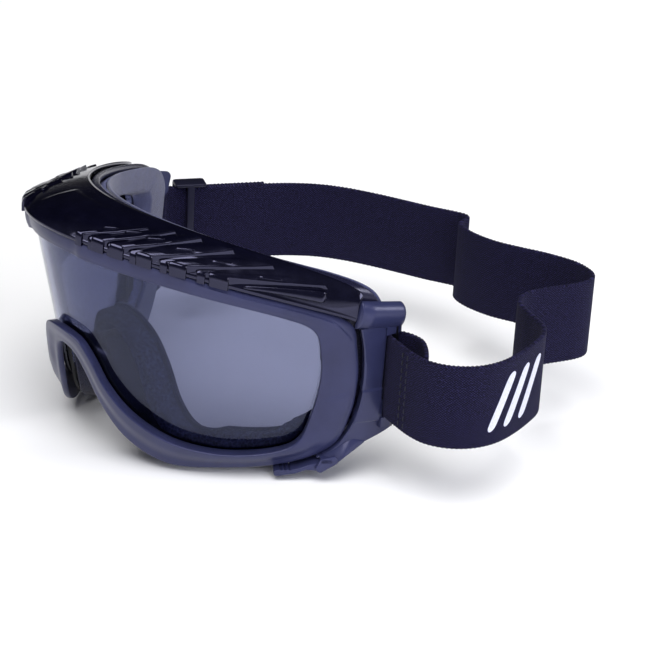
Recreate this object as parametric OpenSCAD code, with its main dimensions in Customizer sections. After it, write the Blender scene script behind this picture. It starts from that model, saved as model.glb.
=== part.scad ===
// Motorcycle goggles: wrap-around frame, one lens, padded face seal, elastic strap.
// Millimetres. The wearer looks along -Y, +X is the wearer's left, +Z is up.
// Outlines are drawn in height z and width x, then laid on the curved front.
// placed() moves the finished pieces so that the origin is the face seal's centre.

/* [Front] */
// Distance from the drawing's zero line to the foremost point of the brow
front_reach = 74; // [60:1:90]
// How fast the front wraps backwards: depth = wrap * x * x
wrap = 0.0136; // [0.009:0.0002:0.0140]
// Lean of the front, top edge forward, degrees
lean = 12.5; // [5:0.5:16]
// Height of the brow crease at the middle
brow_z = 79; // [78:0.5:81]
// How fast the brow drops to the sides: drop = brow_drop * x * x
brow_drop = 0.00465; // [0.0042:0.00005:0.0048]
// Width of the satin band between the brow crease and the lens opening
brow_band = 6.8; // [5:0.1:8]

/* [Frame] */
// Thickness of the front frame
frame_t = 2.2; // [1.8:0.1:2.4]
// Wall of the rear frame
rear_wall = 2.0; // [1.4:0.1:2.4]
// Depth of the glossy brow cap at the middle
cap_depth = 29; // [22:1:30]
// Half width at which the brow cap runs out
cap_half = 76.5; // [75:0.5:77]
// Thickness of the brow cap
cap_t = 1.8; // [1.2:0.1:2.2]

/* [Lens] */
// Thickness of the lens
lens_t = 2.0; // [1.5:0.1:2.2]
// How far the lens reaches under the frame, beyond the visible opening
lens_lap = 2.0; // [1:0.1:2.4]

/* [Face foam] */
// Thickness of the foam ring, front to back
foam_t = 8.5; // [6:0.5:10]
// Width of the foam ring between the outside and the eye opening
foam_w = 10; // [7:0.5:11]
// Thickness of the soft lining on the foam
lining_t = 1.5; // [0.8:0.1:2]

/* [Brackets] */
// Outer face of the strap brackets, from the middle
bracket_x = 78.6; // [78:0.1:80]
// Radius of the rolled top edge
roll_r = 5.4; // [5:0.1:5.5]
// Downward slope of the rolled top edge, towards the back, degrees
roll_slope = 12; // [8:1:14]
// Diameter of the bar that holds the strap
bar_d = 2.6; // [2.2:0.1:2.8]

/* [Release tabs] */
// Length from the pivot to the finger end
tab_reach = 17; // [12:0.5:19]
// Width of a tab along its pivot
tab_w = 6.5; // [5:0.5:8]
// Diameter of the pivot pin
tab_pin_d = 1.6; // [1.2:0.1:1.8]

/* [Strap] */
// Width of the elastic webbing
strap_w = 32.8; // [30:0.2:34]
// Thickness of the webbing
strap_t = 1.6; // [1.2:0.1:1.7]
// Height of the middle of the strap
strap_z = 27.4; // [26:0.1:28]

/* [Slider] */
// Length of the slider along the strap
slider_l = 13; // [12:1:14]
// Thickness of the slider's bars
slider_t = 1.6; // [1.2:0.1:2]

/* [Hidden] */

// The face seal's centre, which becomes the origin
seal_y = -36;
seal_z = 33;
module placed() { translate([0, -seal_y, -seal_z]) children(); }

// ---- Curves -------------------------------------------------------------

// A smooth curve: four neighbouring points, and how far along the middle two
function curve_point(a, b, c, d, t) =
    0.5 * (2 * b + (c - a) * t + (2 * a - 5 * b + 4 * c - d) * t * t
    + (3 * b - a - 3 * c + d) * t * t * t);

// A closed smooth curve through hand-placed points
function closed_curve(p, steps) = let (n = len(p))
    [for (i = [0:n - 1], k = [0:steps - 1])
        curve_point(p[(i + n - 1) % n], p[i], p[(i + 1) % n], p[(i + 2) % n], k / steps)];

// An open smooth curve through hand-placed points
function open_curve(p, steps) = let (n = len(p))
    concat([for (i = [0:n - 2], k = [0:steps - 1])
        curve_point(p[max(i - 1, 0)], p[i], p[i + 1], p[min(i + 2, n - 1)], k / steps)],
        [p[n - 1]]);

// The right half of an outline, from the top middle to the nose, made whole
function mirrored(half) = let (n = len(half))
    concat(half, [for (i = [n - 2:-1:1]) [-half[i][0], half[i][1]]]);

function unit(v) = v / norm(v);
function lerp(a, b, t) = a + (b - a) * t;
function clamp(v) = min(max(v, 0), 1);

// A closed outline moved inwards by a distance, or by a list of distances
function inset(p, a) = let (n = len(p))
    [for (i = [0:n - 1]) let (t = unit(p[(i + 1) % n] - p[(i + n - 1) % n]))
        p[i] + (is_list(a) ? a[i] : a) * [t[1], -t[0]]];

// ---- The curved front ---------------------------------------------------

function crease_z(x) = brow_z - brow_drop * x * x;
function front_normal(x) = unit([2 * wrap * x, -1]);

// A point of the front at width x and height z, raised outwards by d
function on_front(p, d = 0) = let (n = front_normal(p[0])) [
    p[0] + d * n[0],
    wrap * p[0] * p[0] - front_reach + (brow_z - p[1]) * tan(lean) + d * n[1],
    p[1]];

// The glossy cap's rear lip: how far behind and above the crease it lies
function lip_back(x) = cap_depth * sqrt(max(0, 1 - pow(x / cap_half, 2)));
function lip_rise(x) = 3.5 + 0.0007 * x * x;
function lip_y(x) = on_front([x, crease_z(x)])[1] + lip_back(x);
function lip_z(x) = crease_z(x) + lip_rise(x);

// The rear frame's back edge, shaped to the face
rear_reach = 40.5;
rear_wrap = 0.012;
rear_lean = 0.05;
function rear_y(p) = rear_wrap * p[0] * p[0] - rear_reach + (brow_z - p[1]) * rear_lean;

// ---- Outlines (x, z), right half ----------------------------------------

outline_steps = 3;
function crease_at(x) = [x, crease_z(x)];
function opening_at(x) = [x, crease_z(x) - brow_band];

front_half = [
    crease_at(0), crease_at(20), crease_at(40), crease_at(58), crease_at(70),
    [75.5, 50], [75.9, 40], [75.3, 27], [73.2, 12], [69.2, -1], [60, -8.3],
    [46, -11], [33, -11], [21.5, -3], [14, 9], [9.5, 21], [5.5, 28], [0, 30.2]];
opening_half = [
    opening_at(0), opening_at(18), opening_at(36), opening_at(53), opening_at(64.5),
    [69.2, 47.5], [69.8, 38], [69, 26.5], [66.6, 13], [63.3, 2], [57.5, -2.3],
    [47, -3.4], [35.5, 0.2], [25, 9], [18.3, 19], [14.2, 29.5], [9.5, 36], [0, 38]];
rear_half = [
    [0, 82.5], [19.5, 81], [39, 76.5], [57, 69.5], [68.2, 63],
    [72.8, 55], [73.6, 42], [73.4, 27], [71.4, 11], [66.6, -2], [59, -10],
    [45.5, -13.5], [32, -13.2], [21, -7], [14, 4], [9.5, 18], [5.5, 26], [0, 28.5]];
// How far the rim around the opening stands proud, at each of those points
rim_half = [0, 0, 0, 0, 0, 0, 0, 0, 0.3, 1.6, 2.6, 3, 3, 2.8, 2.3, 1.8, 1.4, 1.2];

front_line = closed_curve(mirrored(front_half), outline_steps);
opening_line = closed_curve(mirrored(opening_half), outline_steps);
rear_line = closed_curve(mirrored(rear_half), outline_steps);
rim_pairs = mirrored([for (r = rim_half) [0, r]]);
rim_line = [for (p = closed_curve(rim_pairs, outline_steps)) p[1]];
count = len(front_line);

// ---- Solids from rings of points ----------------------------------------

// A closed tube: each ring is a closed line with the same number of points
module looped(rings) {
    n = len(rings[0]);
    m = len(rings);
    polyhedron(
        points = [for (r = rings) each r],
        faces = [for (j = [0:m - 1], i = [0:n - 1])
            let (a = j * n, b = ((j + 1) % m) * n, k = (i + 1) % n)
            each [[a + i, a + k, b + k], [a + i, b + k, b + i]]],
        convexity = 6);
}

// A plate: rows of points on its front, and the same rows on its back
module plate(front, back) {
    rows = len(front);
    cols = len(front[0]);
    size = rows * cols;
    edge = concat(
        [for (i = [0:cols - 1]) i],
        [for (j = [1:rows - 1]) j * cols + cols - 1],
        [for (i = [cols - 2:-1:0]) (rows - 1) * cols + i],
        [for (j = [rows - 2:-1:1]) j * cols]);
    polyhedron(
        points = concat([for (r = front) each r], [for (r = back) each r]),
        faces = concat(
            [for (j = [0:rows - 2], i = [0:cols - 2]) let (a = j * cols + i)
                each [[a, a + 1, a + cols + 1], [a, a + cols + 1, a + cols]]],
            [for (j = [0:rows - 2], i = [0:cols - 2]) let (a = size + j * cols + i)
                each [[a, a + cols + 1, a + 1], [a, a + cols, a + cols + 1]]],
            [for (i = [0:len(edge) - 1]) let (a = edge[i], b = edge[(i + 1) % len(edge)])
                each [[a, size + a, size + b], [a, size + b, b]]]),
        convexity = 6);
}

// ---- Lens and its gasket ------------------------------------------------

lens_gap = 0.6;
lens_front = -frame_t - lens_gap;
lens_back = lens_front - lens_t;
lens_half = 71.2;
lens_cols = 56;
lens_rows = 8;
// Lower edge of the lens: heights at widths, mirrored by abs(x)
lens_low = open_curve([[0, 36], [7, 35], [12, 28.5], [16.3, 18], [23, 7.2], [34, -1.6],
    [46.5, -5.4], [58, -4.4], [64.5, 0], [68, 10], [71.2, 22]], 4);
function lens_bottom(x) = lookup(abs(x), lens_low);
// The upper corners are rounded off by this much
lens_shoulder = 3.2;
function lens_top(x) = crease_z(x) - brow_band + lens_lap - lens_shoulder * pow(abs(x) / lens_half, 8);
function lens_row(j, d) = [for (i = [0:lens_cols]) let (
        x = -lens_half * cos(180 * i / lens_cols),
        z = lerp(lens_bottom(x), lens_top(x), j / lens_rows))
    on_front([x, z], d)];

module lens() {
    color([0.34, 0.37, 0.45, 0.75])
    plate([for (j = [0:lens_rows]) lens_row(j, lens_back)],
          [for (j = [0:lens_rows]) lens_row(j, lens_front)]);
}

gasket_t = 1.3;
gasket_front_d = lens_back - 0.1;
module lens_gasket() {
    outer = inset(front_line, 3.4);
    inner = inset(opening_line, -0.6);
    back = gasket_front_d - gasket_t;
    color([0.08, 0.08, 0.09])
    looped([
        [for (p = outer) on_front(p, back)],
        [for (p = outer) on_front(p, gasket_front_d)],
        [for (p = inner) on_front(p, gasket_front_d)],
        [for (p = inner) on_front(p, back)]]);
}

// ---- Front frame and brow cap -------------------------------------------

module front_frame() {
    shoulder = [for (i = [0:count - 1]) lerp(opening_line[i], front_line[i], 0.3)];
    color([0.26, 0.26, 0.39])
    looped([
        [for (p = front_line) on_front(p, -frame_t)],
        [for (p = front_line) on_front(p, 0)],
        [for (i = [0:count - 1]) on_front(shoulder[i], rim_line[i])],
        [for (i = [0:count - 1]) on_front(opening_line[i], rim_line[i] * 0.8 - 0.2)],
        [for (p = opening_line) on_front(p, -frame_t)]]);
}

cap_cols = 60;
cap_rows = 7;
cap_gap = 0.15;
// The cap's surface at width x, from the crease (t = 0) to the rear lip (t = 1)
function on_cap(x, t, down) = let (c = on_front(crease_at(x)), bulge = 2.2 * sin(180 * pow(t, 0.7)))
    [c[0], c[1] + lip_back(x) * t, c[2] + cap_gap + lip_rise(x) * t + bulge - down];

module brow_cap() {
    last = cap_half - 0.4;
    function xs(i) = -last * cos(180 * i / cap_cols);
    color([0.04, 0.05, 0.1])
    plate([for (j = [0:cap_rows]) [for (i = [0:cap_cols]) on_cap(xs(i), j / cap_rows, 0)]],
          [for (j = [0:cap_rows]) [for (i = [0:cap_cols]) on_cap(xs(i), j / cap_rows, -cap_t)]]);
}

// ---- Rear frame ---------------------------------------------------------

rear_gap = 0.45;
rear_front_d = gasket_front_d - gasket_t - rear_gap;
// The rear frame's side wall, at point i of the outline and fraction t of its depth
function rear_wall_point(i, t, step) = let (
        f = on_front(lerp(front_line[i], opening_line[i], 0.12), rear_front_d),
        r = [rear_line[i][0], rear_y(rear_line[i]), rear_line[i][1]],
        top = clamp((r[2] - 48) / 14),
        free = lerp(f, r, t),
        tucked = [r[0], lip_y(r[0]) + 0.6 + 0.5 * step, lip_z(r[0]) - 2.4 + 2.4 * step])
    lerp(free, tucked, top);

module rear_frame() {
    inner_front = [for (i = [0:count - 1]) lerp(front_line[i], opening_line[i], 0.5)];
    inner_rear = inset(rear_line, rear_wall);
    middle_low = [for (i = [0:count - 1]) rear_wall_point(i, 0.45, 0)];
    middle_high = [for (i = [0:count - 1]) rear_wall_point(i, 0.55, 1)];
    rear_rim = [for (p = rear_line) [p[0], rear_y(p), p[1]]];
    inner_rim = [for (p = inner_rear) [p[0], rear_y(p), p[1]]];
    inner_middle = [for (i = [0:count - 1]) let (q = inner_rear[i])
        [q[0], middle_low[i][1], min(q[1], middle_low[i][2] - (q[1] > 60 ? rear_wall : -200))]];
    color([0.2, 0.2, 0.32])
    looped([
        [for (p = inner_front) on_front(p, rear_front_d)],
        inner_middle, inner_rim, rear_rim, middle_high, middle_low,
        [for (i = [0:count - 1]) on_front(lerp(front_line[i], opening_line[i], 0.12), rear_front_d)]]);
}

// ---- Foam ---------------------------------------------------------------

// How far the foam stands out behind the rear frame's edge
foam_back = 3.0;
// Gaps to the rear frame's wall, to the gasket and under the lining
foam_clear = 0.3;
foam_air = 0.6;
lining_gap = 0.25;
// How much the ring narrows towards the lens
foam_taper = 3.2;
// The ring is wider below the eyes and thicker at the temples
cheek_extra = 4;
temple_extra = 2;
function cheek(p) = clamp((12 - p[1]) / 12) * clamp((abs(p[0]) - 24) / 14);
function temple(p) = clamp((abs(p[0]) - 48) / 12) * clamp((p[1] - 36) / 14);
// The back of the gasket, as a depth at width and height p
function behind_lens(p) = on_front(p)[1] - (rear_front_d - foam_air) / -front_normal(p[0])[1];
module foam_ring(a, b, y0, y1, taper) {
    outer = inset(rear_line, a);
    front_outer = inset(rear_line, a + taper);
    inner = inset(rear_line, [for (p = rear_line) b + cheek_extra * cheek(p)]);
    rise = [for (p = rear_line) temple_extra * temple(p)];
    function front_y(p) = max(rear_y(p) + y0, behind_lens(p));
    function ring(q, back) = [for (i = [0:count - 1]) let (p = q[i], lift = y0 > 0 || back ? rise[i] : 0)
        [p[0], (back ? rear_y(p) + y1 : front_y(p)) + lift, p[1]]];
    looped([ring(outer, true), ring(front_outer, false), ring(inner, false), ring(inner, true)]);
}

module face_foam() {
    color([0.12, 0.12, 0.14])
    foam_ring(rear_wall + foam_clear, foam_w, foam_back - foam_t, foam_back, foam_taper);
}

module face_lining() {
    color([0.3, 0.32, 0.42])
    foam_ring(rear_wall + foam_clear, foam_w, foam_back + lining_gap, foam_back + lining_t, 0);
}

// ---- Vent foam under the louvred parts of the cap -------------------------

vent_from = 12;
vent_to = 60;
vent_t = 1.0;
module vent_foam(side) {
    function xs(i) = side * lerp(vent_from, vent_to, i / 16);
    function row(j, down) = [for (i = [0:16]) on_cap(xs(i), lerp(0.35, 0.75, j / 3), down)];
    upper = 0.15;
    color([0.15, 0.15, 0.17])
    if (side > 0)
        plate([for (j = [0:3]) row(j, upper + vent_t)], [for (j = [0:3]) row(j, upper)]);
    else
        plate([for (j = [0:3]) row(j, upper)], [for (j = [0:3]) row(j, upper + vent_t)]);
}

// ---- Strap brackets, bars and release tabs (drawn for the wearer's left) ---

bar_x = 77.4;
bar_y = 28.8;
bar_low = 6.5;
bar_high = 47;
// Axis of the rolled top edge, from front to back, and where its front end is cut off
roll_x = 74.2;
roll_y0 = 9.5;
roll_y1 = 32.8;
roll_z0 = 54.1;
roll_cut = 12.2;
// Next to the front frame the cut lies further back
roll_step = [76.6, 2];
roll_inner = bar_x - bar_d / 2 - 0.9;
far = 100;
// The foot that carries the lower end of the strap bar
foot_at = [bar_x - 2.4, 24, 6.8];
foot_size = [3.6, 7, 3.2];
panel_t = 4.2;
// Height, front edge (x, y) and back edge (x, y) of the panel, top to bottom
panel_rows = [
    [52, [77.6, 11.6], [78.4, 24.8]],
    [46, [78.2, 13.4], [bracket_x, 24.8]],
    [40, [78.4, 14.6], [bracket_x, 24.8]],
    [33, [78.2, 15.4], [bracket_x, 24.6]],
    [27, [77.8, 15.7], [bracket_x, 24.4]],
    [18, [76.6, 15.4], [78.4, 24.2]],
    [10.4, [74.9, 14.4], [78.2, 24.2]],
    [9.4, [74.6, 14.2], [78.0, 31.4]],
    [5, [73.0, 12.8], [77.0, 30.0]],
    [0, [71.0, 10.6], [74.0, 20.5]],
    [-4, [68.2, 7.4], [70.5, 13.5]],
    [-5.8, [66.0, 4.6], [68.2, 9.5]]];

// The tab pivots below the bracket's lower arm and reaches forward under the front frame
tab_pivot = [66.6, 6.0, -8.0];
tab_heading = -122;
hub_r = 1.7;
tab_play = 0.6;
ear_t = 1.2;
ear_at = tab_w / 2 + 0.35 + ear_t / 2;
// The pin goes in from the inner side and stops inside the outer ear
pin_from = -ear_at - ear_t / 2;
pin_to = ear_at + 0.2;
// Side view of an ear: it runs down from the bracket's arm round the pivot
ear_outline = [[-9, 7], [-9, 4.4], [-6.6, 2.4], [-1.4, -1.0], [1.4, -0.9], [1.7, 0.6], [0.2, 3.6]];
// The bridge that joins the ears above the tab's hub
bridge_at = [-4.4, pin_from, 2.1];
bridge_size = [4.4, -2 * pin_from, 1.5];
module tab_place() { translate(tab_pivot) rotate([0, 0, tab_heading]) children(); }

// The hinge block under the bracket's arm: two ears and the bridge between them
module tab_hinge() {
    tab_place() {
        for (side = [-1, 1])
            translate([0, side * ear_at + ear_t / 2, 0]) rotate([90, 0, 0]) {
                cylinder(r = hub_r, h = ear_t, $fn = 40);
                linear_extrude(ear_t) polygon(ear_outline);
            }
        translate(bridge_at) cube(bridge_size);
    }
}

module tab_axle() {
    tab_place() translate([0, pin_to, 0]) rotate([90, 0, 0])
        cylinder(d = tab_pin_d, h = pin_to - pin_from, $fn = 32);
}

module roll() {
    difference() {
        translate([roll_x, roll_y0, roll_z0]) rotate([-90 - roll_slope, 0, 0])
            cylinder(r = roll_r, h = (roll_y1 - roll_y0) / cos(roll_slope), $fn = 64);
        translate([roll_inner - far, -far / 2, 0]) cube(far);
        translate([roll_x, roll_cut - far, 0]) cube(far);
        translate([roll_step[0] - far, roll_cut + roll_step[1] - far, 0]) cube(far);
    }
}

module strap_bracket() {
    cols = 4;
    function row(r) = [for (i = [0:cols]) [
        lerp(r[1][0], r[2][0], i / cols), lerp(r[1][1], r[2][1], i / cols), r[0]]];
    // The inner side lies further back at its front edge, to stay clear of the front frame
    function inward(r, i) = let (low = clamp((12 - r[0]) / 12))
        [-panel_t + 2.2 * low, 2 * (1 - i / cols), 1.6 * low];
    color([0.27, 0.27, 0.41])
    difference() {
        union() {
            plate([for (r = panel_rows) row(r)],
                  [for (r = panel_rows) let (p = row(r)) [for (i = [0:cols]) p[i] + inward(r, i)]]);
            roll();
            translate(foot_at) cube(foot_size);
            tab_hinge();
        }
        tab_axle();
        translate([bar_x, bar_y, bar_low]) cylinder(d = bar_d, h = bar_high - bar_low, $fn = 48);
    }
}

module strap_bar() {
    color([0.6, 0.6, 0.62])
    translate([bar_x, bar_y, bar_low]) cylinder(d = bar_d, h = bar_high - bar_low, $fn = 48);
}

module release_tab() {
    color([0.22, 0.22, 0.34])
    tab_place() difference() {
        translate([0, tab_w / 2, 0]) rotate([90, 0, 0]) {
            cylinder(r = hub_r, h = tab_w, $fn = 40);
            linear_extrude(tab_w) polygon([[0, hub_r], [4, 0.7], [8, -0.8], [tab_reach - 1, -1.5],
                [tab_reach, -2.1], [tab_reach, -3.4], [tab_reach - 1, -4], [9, -2.9], [5, -1.4],
                [0, -hub_r]]);
        }
        rotate([90, 0, 0])
            cylinder(d = tab_pin_d + tab_play, h = tab_w + 2, center = true, $fn = 32);
    }
}

module tab_pin() {
    color([0.6, 0.6, 0.62])
    tab_axle();
}

// ---- Strap ---------------------------------------------------------------

// The strap's path seen from above: sewn end, round the left bar, round the head,
// round the right bar and back as a free tail
strap_points = [
    [98.5, 26.4], [93.5, 30.2], [87.5, 33.4], [81.8, 33.4], [77.4, 31.6], [75.3, 30.4],
    [74.7, 28.8], [75.3, 27.1], [77.4, 26.1], [82, 25.1], [89, 24.0], [96.5, 23.4],
    [103.5, 24.4], [109.6, 28.2], [114, 34.2], [116, 41], [115.9, 48.5], [113.6, 57.5],
    [110.2, 66.5], [106, 75], [100.5, 80.4], [93, 83], [85.5, 84.8], [79, 87.6],
    [75, 92], [73.4, 98], [74, 105], [75.6, 113], [76.9, 120], [76.4, 126],
    [72.8, 130.6], [67, 132.6], [59, 132.6], [48, 128.8], [38, 123.6], [29, 119.4],
    [20, 117.4], [12, 117.4], [6.4, 119.4], [4.4, 122.6], [3.4, 125.8], [0, 127.4],
    [-5, 125.4], [-14, 120.4], [-25, 115.2], [-36, 109.8], [-47, 103.4], [-56, 96],
    [-63, 86.6], [-68.2, 76.4], [-72.4, 66], [-76.4, 56], [-80.4, 46], [-82.4, 41],
    [-82.8, 36.6], [-80.8, 33.4], [-77.6, 31.6], [-75.2, 30.6], [-74.6, 28.6], [-75.5, 26.6],
    [-77.8, 26.0], [-80.2, 27.2], [-83.4, 31.2], [-85.2, 36.4], [-84.2, 41.8], [-82.2, 46.8],
    [-78.2, 56.8], [-74.2, 66.8], [-70.2, 76.8]];
strap_line = open_curve(strap_points, 4);

function side_of(p, i) = let (n = len(p), t = unit(p[min(i + 1, n - 1)] - p[max(i - 1, 0)]))
    [t[1], -t[0]];
function beside(p, a) = [for (i = [0:len(p) - 1]) p[i] + a * side_of(p, i)];
function reversed(p) = [for (i = [len(p) - 1:-1:0]) p[i]];

module strap() {
    color([0.1, 0.1, 0.17])
    translate([0, 0, strap_z - strap_w / 2]) linear_extrude(strap_w)
        polygon(concat(beside(strap_line, strap_t / 2), reversed(beside(strap_line, -strap_t / 2))));
}

// A generic printed mark, three slanted bars, on the outside near the left end
mark_t = 0.25;
mark_lift = 0.03;
mark_first = 60;
mark_step = 4;
mark_low = -10.5;
mark_rise = 4.2;
function on_strap(i, z, off) = let (p = strap_line[i] + off * side_of(strap_line, i)) [p[0], p[1], z];

module strap_mark() {
    near = strap_t / 2 + mark_lift;
    far = near + mark_t;
    function row(b, j, off) = [for (i = [0:5])
        on_strap(mark_first + b * mark_step + j + i, strap_z + mark_low + i * mark_rise, off)];
    color([0.85, 0.85, 0.92])
    for (b = [0:2])
        plate([for (j = [2:-1:0]) row(b, j, near)], [for (j = [2:-1:0]) row(b, j, far)]);
}

// Rows of thread, standing beside the face of the webbing
thread_d = 0.5;
thread_lift = 0.2;
stitch_low = -14.6;
stitch_pitch = 3;
stitch_l = 2.1;
module stitches(at, heading, rows, spacing) {
    color([0.16, 0.16, 0.24])
    for (k = [0:rows - 1], i = [0:9])
        translate([at[0], at[1], strap_z + stitch_low + i * stitch_pitch]) rotate([0, 0, heading])
            translate([k * spacing, -strap_t / 2 - thread_d / 2 - thread_lift, 0])
                cylinder(d = thread_d, h = stitch_l, $fn = 16);
}
module stitching_left() { stitches([89.6, 23.95], -4.6, 2, 3); }
module stitching_right() { stitches([-72.6, 70.8], 68.2 - 180, 2, 2.5); }

// ---- Slider --------------------------------------------------------------

// It grips both layers: the middle bar is inside them, the end bars outside
slider_at = [-81.1, 46.9];
slider_heading = 68.2;
slider_bar_w = 3;
slider_rail = 1.4;
layers_t = 2 * strap_t + 0.25;
slider_gap = 0.45;
// How far each cross bar reaches into the side rails
slider_sink = 0.5;
module strap_slider() {
    inner = strap_w + 2 * slider_gap;
    depth = layers_t + 2 * slider_gap + 2 * slider_t;
    color([0.06, 0.06, 0.08])
    translate([slider_at[0], slider_at[1], strap_z]) rotate([0, 0, slider_heading]) {
        for (s = [-1, 1]) {
            translate([-slider_l / 2, -depth / 2, s > 0 ? inner / 2 : -inner / 2 - slider_rail])
                cube([slider_l, depth, slider_rail]);
            translate([s > 0 ? slider_l / 2 - slider_bar_w : -slider_l / 2,
                depth / 2 - slider_t, -inner / 2 - slider_sink])
                cube([slider_bar_w, slider_t, inner + 2 * slider_sink]);
        }
        translate([-slider_bar_w / 2, -depth / 2, -inner / 2 - slider_sink])
            cube([slider_bar_w, slider_t, inner + 2 * slider_sink]);
    }
}

module on_right() { mirror([1, 0, 0]) children(); }

placed() lens();
placed() lens_gasket();
placed() front_frame();
placed() brow_cap();
placed() rear_frame();
placed() vent_foam(1);  // vent_foam_left
placed() vent_foam(-1);  // vent_foam_right
placed() face_foam();
placed() face_lining();
placed() strap_bracket();  // strap_bracket_left
placed() on_right() strap_bracket();  // strap_bracket_right
placed() strap_bar();  // strap_bar_left
placed() on_right() strap_bar();  // strap_bar_right
placed() release_tab();  // release_tab_left
placed() on_right() release_tab();  // release_tab_right
placed() tab_pin();  // tab_pin_left
placed() on_right() tab_pin();  // tab_pin_right
placed() strap();
placed() strap_slider();
placed() strap_mark();
placed() stitching_left();
placed() stitching_right();
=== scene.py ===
"""Motorcycle goggles: the looks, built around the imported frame. Everything is in the part's
own frame; lengths are worked out in millimetres and become metres when a mesh is made."""
import math

import bmesh
import bpy
import numpy as np
from mathutils import Matrix, Vector


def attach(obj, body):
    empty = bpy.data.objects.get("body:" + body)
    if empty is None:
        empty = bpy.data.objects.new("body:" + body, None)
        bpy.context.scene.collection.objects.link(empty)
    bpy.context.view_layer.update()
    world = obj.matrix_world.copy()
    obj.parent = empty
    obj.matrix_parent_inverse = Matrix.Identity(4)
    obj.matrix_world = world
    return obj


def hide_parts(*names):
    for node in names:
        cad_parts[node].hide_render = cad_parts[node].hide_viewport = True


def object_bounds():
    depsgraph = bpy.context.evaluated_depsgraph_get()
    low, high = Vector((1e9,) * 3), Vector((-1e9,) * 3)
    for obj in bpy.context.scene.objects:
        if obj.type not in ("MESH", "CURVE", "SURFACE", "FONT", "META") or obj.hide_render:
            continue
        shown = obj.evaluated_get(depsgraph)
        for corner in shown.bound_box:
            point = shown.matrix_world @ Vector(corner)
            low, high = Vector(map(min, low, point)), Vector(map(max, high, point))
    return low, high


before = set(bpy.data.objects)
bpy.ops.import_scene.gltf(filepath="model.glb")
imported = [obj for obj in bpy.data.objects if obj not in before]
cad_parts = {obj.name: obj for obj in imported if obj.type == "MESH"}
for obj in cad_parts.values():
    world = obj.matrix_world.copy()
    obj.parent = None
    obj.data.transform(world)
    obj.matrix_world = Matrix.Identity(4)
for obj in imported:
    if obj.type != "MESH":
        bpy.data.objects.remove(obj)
cad_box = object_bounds()

MM = 0.001
# The design's drawing zero lies here in the part's frame (mm)
DRAWING = np.array([0.0, 36.0, -33.0])


# ---- Design sizes (mm), as in the part's source ----

WRAP = 0.0136
FRONT_REACH = 74.0
LEAN = math.tan(math.radians(12.5))
BROW_Z = 79.0
BROW_DROP = 0.00465
BROW_BAND = 6.8
CAP_DEPTH = 29.0
CAP_HALF = 76.5
CAP_T = 1.8
CAP_GAP = 0.15
FRAME_T = 2.2
REAR_WALL = 2.0
LENS_FRONT = -FRAME_T - 0.6
LENS_BACK = LENS_FRONT - 2.0
LENS_LAP = 2.0
LENS_HALF = 71.2
GASKET_T = 1.3
REAR_FRONT_D = LENS_BACK - 0.1 - GASKET_T - 0.45
STRAP_W = 32.8
STRAP_T = 1.6
STRAP_Z = 27.4
BRACKET_X = 78.6
BAR_X = 77.4


# ---- Curves and the curved front ----

def spline(points, steps, closed=False):
    """A smooth curve through given points, steps samples per stretch."""
    p = np.asarray(points, float)
    n = len(p)
    at = np.arange(n if closed else n - 1)
    pick = (lambda k: (at + k) % n) if closed else (lambda k: np.clip(at + k, 0, n - 1))
    a, b, c, d = (p[pick(k)][:, None, :] for k in (-1, 0, 1, 2))
    t = (np.arange(steps) / steps)[None, :, None]
    out = 0.5 * (2 * b + (c - a) * t + (2 * a - 5 * b + 4 * c - d) * t ** 2
                 + (3 * b - a - 3 * c + d) * t ** 3)
    out = out.reshape(-1, p.shape[1])
    return out if closed else np.vstack([out, p[-1:]])


def mirrored(half):
    half = np.asarray(half, float)
    other = half[-2:0:-1] * np.array([-1.0, 1.0])
    return np.vstack([half, other])


def unit(v):
    return v / np.maximum(np.linalg.norm(v, axis=-1, keepdims=True), 1e-12)


def inset(line, a):
    """A closed outline in (x, z) moved inwards, by one distance or one for each point."""
    t = unit(np.roll(line, -1, 0) - np.roll(line, 1, 0))
    return line + np.reshape(a, (-1, 1)) * np.stack([t[:, 1], -t[:, 0]], 1)


def smooth(a, b, v):
    t = np.clip((v - a) / (b - a), 0, 1)
    return t * t * (3 - 2 * t)


def denser_at_ends(half, cols):
    """Places from -half to half, closer together towards both ends."""
    return -half * np.cos(np.pi * np.arange(cols + 1) / cols)


def crease_z(x):
    return BROW_Z - BROW_DROP * x * x


def crease_at(x, below=0.0):
    return np.stack([x, crease_z(x) - below], -1)


def at_depth(line, y):
    """An outline in (x, z), placed at the depth y."""
    return np.stack([line[:, 0], y * np.ones(len(line)), line[:, 1]], 1)


def on_front(p, d=0.0):
    """Points of the curved front at (x, z), raised outwards by d."""
    p = np.asarray(p, float)
    x, z = p[..., 0], p[..., 1]
    size = np.sqrt((2 * WRAP * x) ** 2 + 1)
    y = WRAP * x * x - FRONT_REACH + (BROW_Z - z) * LEAN
    return np.stack([x + d * 2 * WRAP * x / size, y - d / size, z + 0 * d], -1)


def lip_back(x):
    return CAP_DEPTH * np.sqrt(np.maximum(0, 1 - (x / CAP_HALF) ** 2))


def lip_rise(x):
    return 3.5 + 0.0007 * x * x


def bulge(t):
    return 2.2 * np.sin(np.pi * np.clip(t, 0, 1) ** 0.7)


def on_cap(x, t, up=0.0):
    """The brow cap's under side at width x, from the crease (t = 0) to its rear lip (t = 1)."""
    x, t = np.broadcast_arrays(np.asarray(x, float), np.asarray(t, float))
    c = on_front(crease_at(x))
    return np.stack([x, c[..., 1] + lip_back(x) * t,
                     c[..., 2] + CAP_GAP + lip_rise(x) * t + bulge(t) + up], -1)


def rear_y(p):
    return 0.012 * p[..., 0] ** 2 - 40.5 + (BROW_Z - p[..., 1]) * 0.05


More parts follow.
